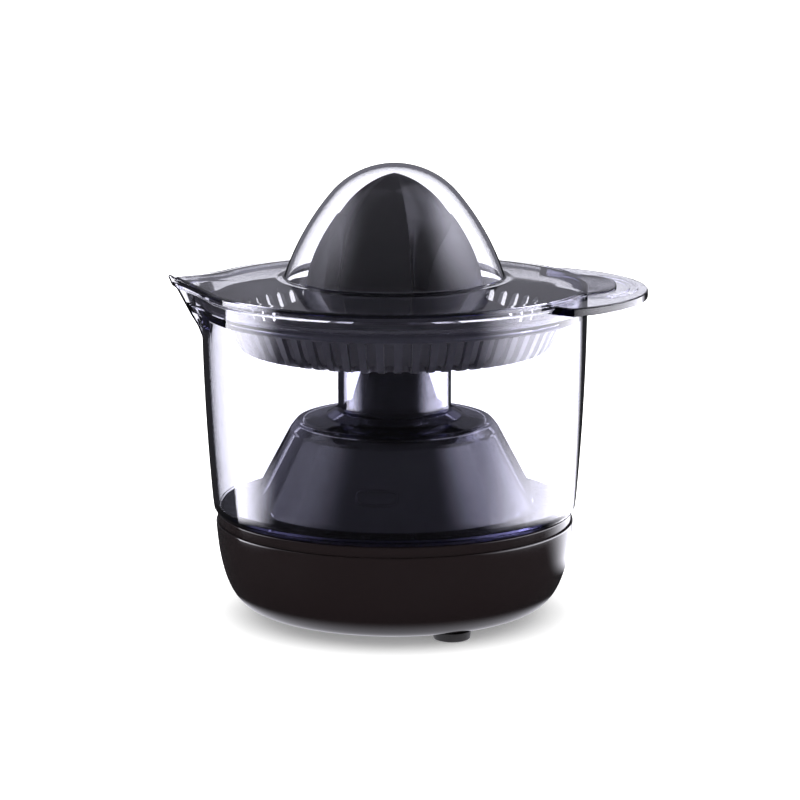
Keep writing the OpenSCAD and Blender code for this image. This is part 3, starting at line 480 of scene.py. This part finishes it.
def dry_side(z):
    return tower_side(z) + 1.2 * side_k


heights = [44.8 + 2.5 + i * 4.2 for i in range(18)]
jug = turned("jug_clear", soften([
    (dry_side(deck), deck, 0.4), (foot_r - 0.9, deck, 0.8), (foot_r, deck + 1.4, 0.6),
    *[(jug_side(z), z) for z in heights if z < 126], (jug_side(127.6), 127.6, 0.5),
    (76.5, 128.6, 0.6), (76.5, rim, 0.9), (75, rim, 0.4), (75, 129.7, 0.3),
    (jug_side(124) - jug_wall, 129.7, 0.3), (jug_side(124) - jug_wall, 123.5, 0.2),
    (jug_side(124) - jug_wall - 2, 123.5, 0.3), (jug_side(124) - jug_wall - 2, 122.7, 0.3),
    (jug_side(120.5) - jug_wall, 120.2, 1),
    *[(jug_side(z) - jug_wall, z) for z in reversed(heights[:-1])],
    (foot_r - jug_wall + 0.1, 44.8, 1.6), (57.3, 44.8, 0.8), (56, 46.6, 1.2),
    (41, 74.5, 4), (38.2, 78, 2.5), (27.3, 79.4, 3), (22.2, 82.6, 2.5), (22.2, 118, 0.6),
    (20, 118, 0.6), (20, 79.2, 1.6), (24.6, 76.2, 1.6), (36.4, 76.2, 3),
    (dry_side(72.6), 72.6, 2)], closed=True), closed=True, steps=240)


def lip(angle, z):
    """How far the pouring lip pushes the wall out and up, in mm, at an angle from it."""
    k = min(max((z - lip_low) / (rim - lip_low), 0), 1)
    if k == 0:
        return 0, 0
    out = lip_reach * k * max(0, 1 - abs(angle) / (lip_half * k)) ** 2.33
    up = lip_rise * k ** 3 * max(0, 1 - abs(angle) / lip_half) ** 1.5
    return out, up


for vertex in jug.data.vertices:
    x, y, z = vertex.co / MM
    if x < 0 and z > lip_low and math.hypot(x, y) > 60:
        out, up = lip(math.degrees(math.atan2(y, -x)), z)
        r = math.hypot(x, y)
        vertex.co = Vector((x * (r + out) / r, y * (r + out) / r, z + up)) * MM

# The handle tab is a flat plate with two low ridges round its edge for the thumb.
tab_top = 129.7


def slab(name, outline, low, high, fillet=0.6):
    """A flat plate in mm from its outline seen from above, its edges rounded over."""
    bpy.ops.object.select_all(action="DESELECT")
    bpy.ops.mesh.primitive_plane_add(size=MM)
    piece = bpy.context.object
    piece.name = piece.data.name = name
    bpy.ops.object.mode_set(mode="EDIT")
    bpy.ops.mesh.merge(type="CENTER")
    points = [Vector((x, y, low)) * MM for x, y in outline]
    bpy.ops.transform.translate(value=points[0])
    for a, b in zip(points, points[1:] + points[:1]):
        bpy.ops.mesh.extrude_region_move(TRANSFORM_OT_translate={"value": b - a})
    bpy.ops.mesh.select_all(action="SELECT")
    bpy.ops.mesh.remove_doubles(threshold=0.002 * MM)
    bpy.ops.mesh.select_all(action="SELECT")
    bpy.ops.mesh.edge_face_add()
    bpy.ops.mesh.extrude_region_move(
        TRANSFORM_OT_translate={"value": (0, 0, (high - low) * MM)})
    bpy.ops.mesh.select_all(action="SELECT")
    bpy.ops.mesh.normals_make_consistent(inside=False)
    bpy.ops.object.mode_set(mode="OBJECT")
    if fillet:
        round_over = piece.modifiers.new("round over", "BEVEL")
        round_over.width = fillet * MM
        round_over.segments = 3
        round_over.angle_limit = math.radians(50)
        only(piece)
        bpy.ops.object.modifier_apply(modifier=round_over.name)
    return piece


def crescent(radius, centre, inner, cut):
    """Between a circle about a point on +X and the jug's wall, for x past the cut."""
    half = math.acos((cut - centre) / radius)
    outer = [(centre + radius * math.cos(a), radius * math.sin(a))
             for a in [half * (1 - i / 24) for i in range(49)]]
    end = math.atan2(outer[0][1], outer[0][0])
    back = [(inner * math.cos(a), inner * math.sin(a))
            for a in [-end + 2 * end * i / 24 for i in range(25)]]
    return outer + back


carve(jug, [slab("tab", crescent(radius=58.8, centre=40, inner=73.9, cut=67),
                 tab_top - 3.3, tab_top)], "UNION")


def tongue(grow):
    """The cover's tongue seen from above, grown by a clearance, in mm."""
    tip = 86.4 + grow
    wide = 19 + grow
    nose = [(tip - 30 - grow + (30 + grow) * math.cos(a), (30 + grow) * math.sin(a))
            for a in [math.asin(wide / (30 + grow)) * (1 - i / 12) for i in range(25)]]
    return [(60, wide)] + nose + [(60, -wide)]


carve(jug, [slab("recess", tongue(0.3), tab_top, rim + 9, 0)])
ridges = []
for grow in (4.2, 7.4):
    ridge = slab("ridge", tongue(grow + 1.2), tab_top - 0.5, tab_top + 0.5, 0)
    carve(ridge, [slab("core", tongue(grow), tab_top - 1, tab_top + 2, 0),
                  rod(77.5, tab_top - 1, tab_top + 2, sides=240)])
    ridges.append(ridge)
carve(jug, ridges, "UNION")

# Clear SAN: polished walls that vanish face on, with a violet tint in the plastic, and a
# painted dark violet shade in the base colour where a wall is looked along.
clear_san = bpy.data.materials.new("clear SAN, violet tint, painted edge shade")
tree = new_tree(clear_san)
place = add(tree, "TexCoord")
flow = add(tree, "TexNoise", {"Scale": 35.0, "Detail": 1.0},
           {"Vector": place.outputs["Object"]})
handled = add(tree, "TexNoise", {"Scale": 20.0, "Detail": 4.0},
              {"Vector": place.outputs["Object"]})
haze = band(tree, handled.outputs["Fac"], 0.45, 0.75, 0.0, 0.03)
bump = add(tree, "Bump", {"Strength": 0.03, "Distance": 0.0005},
           {"Height": flow.outputs["Fac"]})
# painted shade: an upright wall seen along itself gets a dark violet base colour, standing in
# for the dark room seen through its whole width
edge_on = add(tree, "LayerWeight", {"Blend": 0.5})
along = band(tree, edge_on.outputs["Facing"], 0.86, 0.97, 0.0, 1.0)
parts = add(tree, "SeparateXYZ", {}, {"Vector": place.outputs["Object"]})
upright = maths(tree, band(tree, parts.outputs["Z"], 0.125, 0.127, 1.0, 0.0),
                band(tree, parts.outputs["Z"], 0.1345, 0.137, 0.0, 1.0), "ADD")
along = maths(tree, along, upright)
# the painted shade's colour: white face on, dark violet where the wall is seen edge on
body = add(tree, "Mix", {"data_type": "RGBA", 6: linear("#ffffff"), 7: linear("#2a2748")},
           {0: along})
shell = add(tree, "BsdfPrincipled", {"IOR": 1.56, "Transmission Weight": 1.0},
            {"Base Color": body.outputs[2], "Roughness": haze,
             "Normal": bump.outputs["Normal"]})
tint = add(tree, "VolumeAbsorption", {"Color": linear("#8986db"), "Density": 62.0})
add(tree, "OutputMaterial", {}, {"Surface": shell.outputs[0], "Volume": tint.outputs[0]})
finish_piece(jug, clear_san, "jug", "jug_clear", "jug")


# ------------------------------------------------------------------ strainer
# The pulp strainer hangs by its flange on the jug's ledge: a trough with sixty slots
# round its side and floor, and a smooth collar in the middle that the reamer sits on.
strainer = turned("strainer", soften([
    (8.35, 130, 0.3), (34.9, 130, 0.8), (35.5, 129.2, 0.6), (35.5, 125, 2.2),
    (36.6, 122.8, 2), (40, 121.4, 3), (44, 119.8, 2), (54.4, 108, 2), (58, 107.9, 2.5),
    (60.5, 111, 2.5), (64.3, 119.5, 4), (69.4, 125, 1.2), (72.8, 125, 0.5),
    (72.8, 123.5, 0.4), (70.2, 123.5, 0.5), (66.6, 119.6, 4), (62.4, 110.2, 3),
    (60.4, 106.9, 2.5), (56.8, 106, 2.5), (53.4, 106.1, 2), (43.4, 117.8, 2),
    (39.6, 119.7, 2.5), (33.7, 119.7, 1), (33.7, 128.2, 1), (10.35, 128.2, 0.4),
    (10.35, 119.2, 0.3), (8.35, 119.2, 0.3)], closed=True), closed=True, steps=240)
slot_count = 60
slot_wide = 3.8
slots = []
bpy.ops.object.select_all(action="DESELECT")
bpy.ops.mesh.primitive_cube_add(size=1, location=(64.5 * MM, 0, 110 * MM))
bpy.context.object.scale = (21 * MM, slot_wide * MM, 20 * MM)
cutter = settle(bpy.context.object)
bpy.ops.object.mode_set(mode="EDIT")
bpy.ops.mesh.select_all(action="DESELECT")
bpy.ops.object.mode_set(mode="OBJECT")
for edge in cutter.data.edges:
    a, b = (cutter.data.vertices[i].co for i in edge.vertices)
    along_x = abs(a.x - b.x) > MM and min(a.z, b.z) > 0.115
    upright = abs(a.z - b.z) > MM and max(a.x, b.x) < 0.06
    edge.select = along_x or upright
bpy.ops.object.mode_set(mode="EDIT")
bpy.ops.mesh.select_mode(type="EDGE")
bpy.ops.mesh.bevel(offset=(slot_wide / 2 - 0.05) * MM, segments=5, affect="EDGES")
bpy.ops.mesh.select_mode(type="VERT")
bpy.ops.object.mode_set(mode="OBJECT")
for i in range(slot_count):
    copy = cutter.copy()
    copy.data = cutter.data.copy()
    scene.collection.objects.link(copy)
    copy.rotation_euler = (0, 0, math.radians(-91.7 + 360 / slot_count * i))
    slots.append(copy)
bpy.data.objects.remove(cutter)
bpy.ops.object.select_all(action="DESELECT")
for copy in slots:
    copy.select_set(True)
bpy.context.view_layer.objects.active = slots[0]
bpy.ops.object.join()
bpy.context.object.name = "slots"
carve(strainer, [settle(bpy.context.object)])
satin_open = satin("black ABS, moulded, open satin", "#3f3e45", 0.34, 0.42, 0.3)
finish_piece(strainer, satin_open, "strainer", "strainer_black", "filter")

# A small white dot on the collar: a painted highlight, standing in for a lamp's glint there.
dot = rod(2, 129.95, 130.06, (0, 0), 32)
dot.name = dot.data.name = "highlight_dot"
dot_ring = 32.6
dot_at = math.radians(-90 - 44)
dot.location = (dot_ring * MM * math.cos(dot_at), dot_ring * MM * math.sin(dot_at), 0)
settle(dot)
# painted highlight: a white diffuse paint in the place of a glint
highlight_paint = bpy.data.materials.new("white painted highlight")
tree = new_tree(highlight_paint)
place = add(tree, "TexCoord")
grain = add(tree, "TexNoise", {"Scale": 3000.0}, {"Vector": place.outputs["Object"]})
rough = band(tree, grain.outputs["Fac"], 0.3, 0.7, 0.45, 0.6)
shell = add(tree, "BsdfPrincipled", {"Base Color": linear("#f4f3f0")}, {"Roughness": rough})
add(tree, "OutputMaterial", {}, {"Surface": shell.outputs[0]})
dot.data.materials.append(highlight_paint)
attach(dot, "strainer")


# ------------------------------------------------------------------ reamer
# The cone that a halved fruit is pressed on, in satin ABS: two broad leaves run from the
# tip to the foot, each with one sharp edge, and a pointed petal fills each hollow
# between them. It is hollow below, with a hub that takes the driver's hexagon.
reamer_low = 131.2
reamer_tall = 43.2
petal_tall = 27.6
leaf_soft, leaf_sharp = -38.5, 11.5


def smooth(x, low, high):
    t = min(max((x - low) / (high - low), 0), 1)
    return t * t * (3 - 2 * t)


def petal(z):
    """Near and far edge of the petal at a height: angles from the front."""
    t = min(max(z / petal_tall, 0), 1)
    near = 20.5 + 14 * t + 50 * t ** 4
    return near, max(128 - 40 * t ** 3, near + 4)


def reamer_share(angle, z):
    """The reamer's radius at an angle and height, as a share of its smooth outline's."""
    near, far = petal(z)
    high = 1 + 0.13 * smooth(z, 10, 32)
    low = 0.86 + 0.07 * smooth(z, 12, 34)
    edge = 0.995 if z < petal_tall else 0.965 + 0.03 * smooth(z, 28, 36)
    if angle <= leaf_sharp:
        u = (angle - leaf_soft) / (leaf_sharp - leaf_soft)
        share = high * (1 - 0.055 * math.sin(math.pi * u))
    elif angle < near:
        u = (angle - leaf_sharp) / (near - leaf_sharp)
        if u < 0.3:
            share = high + (low - high) * math.sin(math.pi / 2 * u / 0.3) ** 0.9
        else:
            share = low + (edge - low) * ((u - 0.3) / 0.7) ** 1.7
    elif angle < far:
        u = (angle - near) / (far - near)
        share = edge + 0.008 * math.sin(math.pi * u)
    else:
        u = (angle - far) / (leaf_soft + 180 - far)
        share = edge + (high - edge) * u * u - 0.10 * math.sin(math.pi * u) ** 1.3
    return 1 + (share - 1) * smooth(z, 0.9, 3)


reamer_line = list(bezier((34.2, 0.6), (33.2, 13), (18.5, 40), (0, reamer_tall), 90))
inside = [(0.84 * r - 2.6, z - 3) for r, z in reamer_line[8:60] if 0.84 * r - 2.6 > 8.6]
outline = ([(0, -4.7), (5.7, -4.7), (5.7, -22), (5.9, -22.2), (8, -22.2), (8.3, -21.9),
            (8.3, inside[-1][1])] + inside[::-1]
           + [(32, 0.4), (32.3, 0), (33.9, 0), (34.2, 0.3)] + reamer_line)
reamer = turned("reamer_cone", [(r, z + reamer_low) for r, z in outline], steps=360,
                sharp=22)
# these columns of the turned mesh slide onto the edges of the leaf and of the petal
columns = [0, 50, 84, 150, 180]
for vertex in reamer.data.vertices:
    x, y, z = vertex.co / MM
    z -= reamer_low
    r = math.hypot(x, y)
    plain = min(reamer_line, key=lambda p: abs(p[1] - z))[0]
    if z < 1 or r < 0.3 or abs(r - plain) > 0.02 * r + 0.05:
        continue
    turned_by = (math.degrees(math.atan2(x, -y)) - leaf_soft) % 360
    half, column = divmod(round(turned_by) % 360, 180)
    near, far = petal(z)
    knots = [leaf_soft, leaf_sharp, near, far, leaf_soft + 180]
    step = max(i for i in range(4) if columns[i] <= column)
    u = (column - columns[step]) / (columns[step + 1] - columns[step])
    angle = knots[step] + u * (knots[step + 1] - knots[step])
    r *= reamer_share(angle, z)
    a = math.radians(angle + 180 * half - 90)
    vertex.co = Vector((r * math.cos(a), r * math.sin(a), z + reamer_low)) * MM
only(reamer)
bpy.ops.object.shade_smooth_by_angle(angle=math.radians(22))
satin_dark = satin("black ABS, moulded, fine satin", "#1f1d21", 0.36, 0.44, 0.3)
finish_piece(reamer, satin_dark, "reamer", "reamer_black", "reamer")


# ------------------------------------------------------------------ cover
# The clear dust cover: a dome over the reamer and a thin brim that lies in the jug's rim,
# with a tongue over the handle tab and a point over the pouring lip.
cover_top = 178.3
brim_top = 131.2
cover_wall = 1.5
crown_r = 32.5
flank_r = 100


def arc(centre, radius, start, end, count):
    """Points along an arc in the plane of a turned outline, its angles in degrees."""
    for i in range(count + 1):
        a = math.radians(start + (end - start) * i / count)
        yield centre[0] + radius * math.cos(a), centre[1] + radius * math.sin(a)


def dome(inset, low):
    """The dome's outline from its top down: a small crown that runs into a wide flank."""
    crown = (0, cover_top - crown_r)
    join = 40
    flank = ((crown_r - flank_r) * math.cos(math.radians(join)),
             crown[1] + (crown_r - flank_r) * math.sin(math.radians(join)))
    foot = math.degrees(math.asin((low - flank[1]) / (flank_r - inset)))
    return (list(arc(crown, crown_r - inset, 90, join, 16))
            + list(arc(flank, flank_r - inset, join, foot, 16))[1:])


outer = dome(0, 134.6)
outer[0] = (0, cover_top)
inner = dome(cover_wall, 133.2)[::-1]
inner[-1] = (0, cover_top - cover_wall)
brim = [(r, 134.2 - 2.95 * ((r - 43.4) / 31.3) ** 0.9)
        for r in [45 + 29.3 * i / 14 for i in range(15)]]
cover = turned("cover_clear", soften(
    outer + [(43.5, 134.2, 1.2)] + brim[1:] + [(74.7, brim_top, 0.5),
                                              (74.7, brim_top - 1.4, 0.5)]
    + [(r, z - 1.4) for r, z in brim[::-1][1:]] + [(42.6, 132.8, 0.8)] + inner),
    steps=240)
for vertex in cover.data.vertices:
    x, y, z = vertex.co / MM
    r = math.hypot(x, y)
    weight = (r - 60) / 14.7
    if weight <= 0:
        continue
    a = math.degrees(math.atan2(y, x))
    b = math.degrees(math.atan2(y, -x))
    over_tab = 11.7 / (1 + (abs(a) / 15) ** 6) if abs(a) < 60 else 0
    over_lip = 10.5 * max(0, 1 - abs(b) / lip_half) ** 2.33
    lift = 2.6 * max(0, 1 - abs(b) / lip_half) ** 1.5 * weight ** 2
    out = (over_tab + over_lip) * weight
    vertex.co = Vector((x * (r + out) / r, y * (r + out) / r, z + lift)) * MM
finish_piece(cover, clear_san, "cover", "cover_clear", "lid")


# ------------------------------------------------------------------ works
# Everything inside the casing stays as the frame has it: each part gets its own metal
# or plastic.
def metal(name, colour, rough_low, rough_high, brush=None, tone=None):
    """A metal whose roughness and tone change a little over the part."""
    material = bpy.data.materials.new(name)
    tree = new_tree(material)
    place = add(tree, "TexCoord")
    stretch = add(tree, "Mapping", {"Scale": brush or (1, 1, 1)},
                  {"Vector": place.outputs["Object"]})
    grain = add(tree, "TexNoise", {"Scale": 900.0, "Detail": 3.0},
                {"Vector": stretch.outputs["Vector"]})
    cloud = add(tree, "TexNoise", {"Scale": 150.0, "Detail": 4.0},
                {"Vector": place.outputs["Object"]})
    rough = band(tree, grain.outputs["Fac"], 0.3, 0.7, rough_low, rough_high)
    shade = add(tree, "ValToRGB", {}, {"Fac": cloud.outputs["Fac"]})
    shade.color_ramp.elements[0].color = linear(tone or colour)
    shade.color_ramp.elements[0].position = 0.35
    shade.color_ramp.elements[1].color = linear(colour)
    shade.color_ramp.elements[1].position = 0.65
    bump = add(tree, "Bump", {"Strength": 0.1, "Distance": 0.0001},
               {"Height": grain.outputs["Fac"]})
    shell = add(tree, "BsdfPrincipled", {"Metallic": 1.0},
                {"Base Color": shade.outputs["Color"], "Roughness": rough,
                 "Normal": bump.outputs["Normal"]})
    add(tree, "OutputMaterial", {}, {"Surface": shell.outputs[0]})
    return material


ground_steel = metal("ground steel", "#b9bbbf", 0.15, 0.3, (1, 1, 8), "#a9abaf")
zinc_steel = metal("zinc-plated steel", "#c3c4bb", 0.25, 0.45, tone="#acaf9f")
electrical_steel = metal("stacked electrical steel", "#7f8288", 0.35, 0.55, (1, 1, 12),
                         "#6b6d72")
spring_steel = metal("spring steel wire", "#8f9196", 0.2, 0.35, tone="#7d7f84")
copper = metal("enamelled copper wire", "#b4602f", 0.2, 0.35, (1, 14, 1), "#9d4f24")
bronze = metal("sintered bronze", "#a98250", 0.35, 0.6, tone="#8d6a3c")
nylon = satin("white nylon, moulded", "#e6e4dc", 0.35, 0.5, 0.4)
switch_black = satin("black glass-filled nylon", "#1d1d1f", 0.4, 0.55, 0.25)
red_pvc = satin("red PVC wire cover", "#b3221c", 0.3, 0.45, 0.5)
made_of = {
    ground_steel: ("motor_shaft", "idler_axle", "drive_shaft", "lever_pin"),
    zinc_steel: ("casing_screws", "stator_screws", "gear_plate", "gear_plate_screws",
                 "switch_lever", "switch_screws", "terminal_screws"),
    electrical_steel: ("stator_core", "motor_rotor"),
    spring_steel: ("return_spring", "axle_clip"),
    copper: ("shading_rings", "coil_winding"),
    bronze: ("motor_bushes", "rotor_pinion", "lower_bush", "upper_bush"),
    nylon: ("coil_bobbin", "idler_gear", "output_gear", "switch_plunger",
            "terminal_block"),
    switch_black: ("switch_body",),
    red_pvc: ("lead_wires",),
    rubber: ("shaft_seal",),
}
for material, names in made_of.items():
    for name in names:
        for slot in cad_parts[name].material_slots:
            slot.material = material
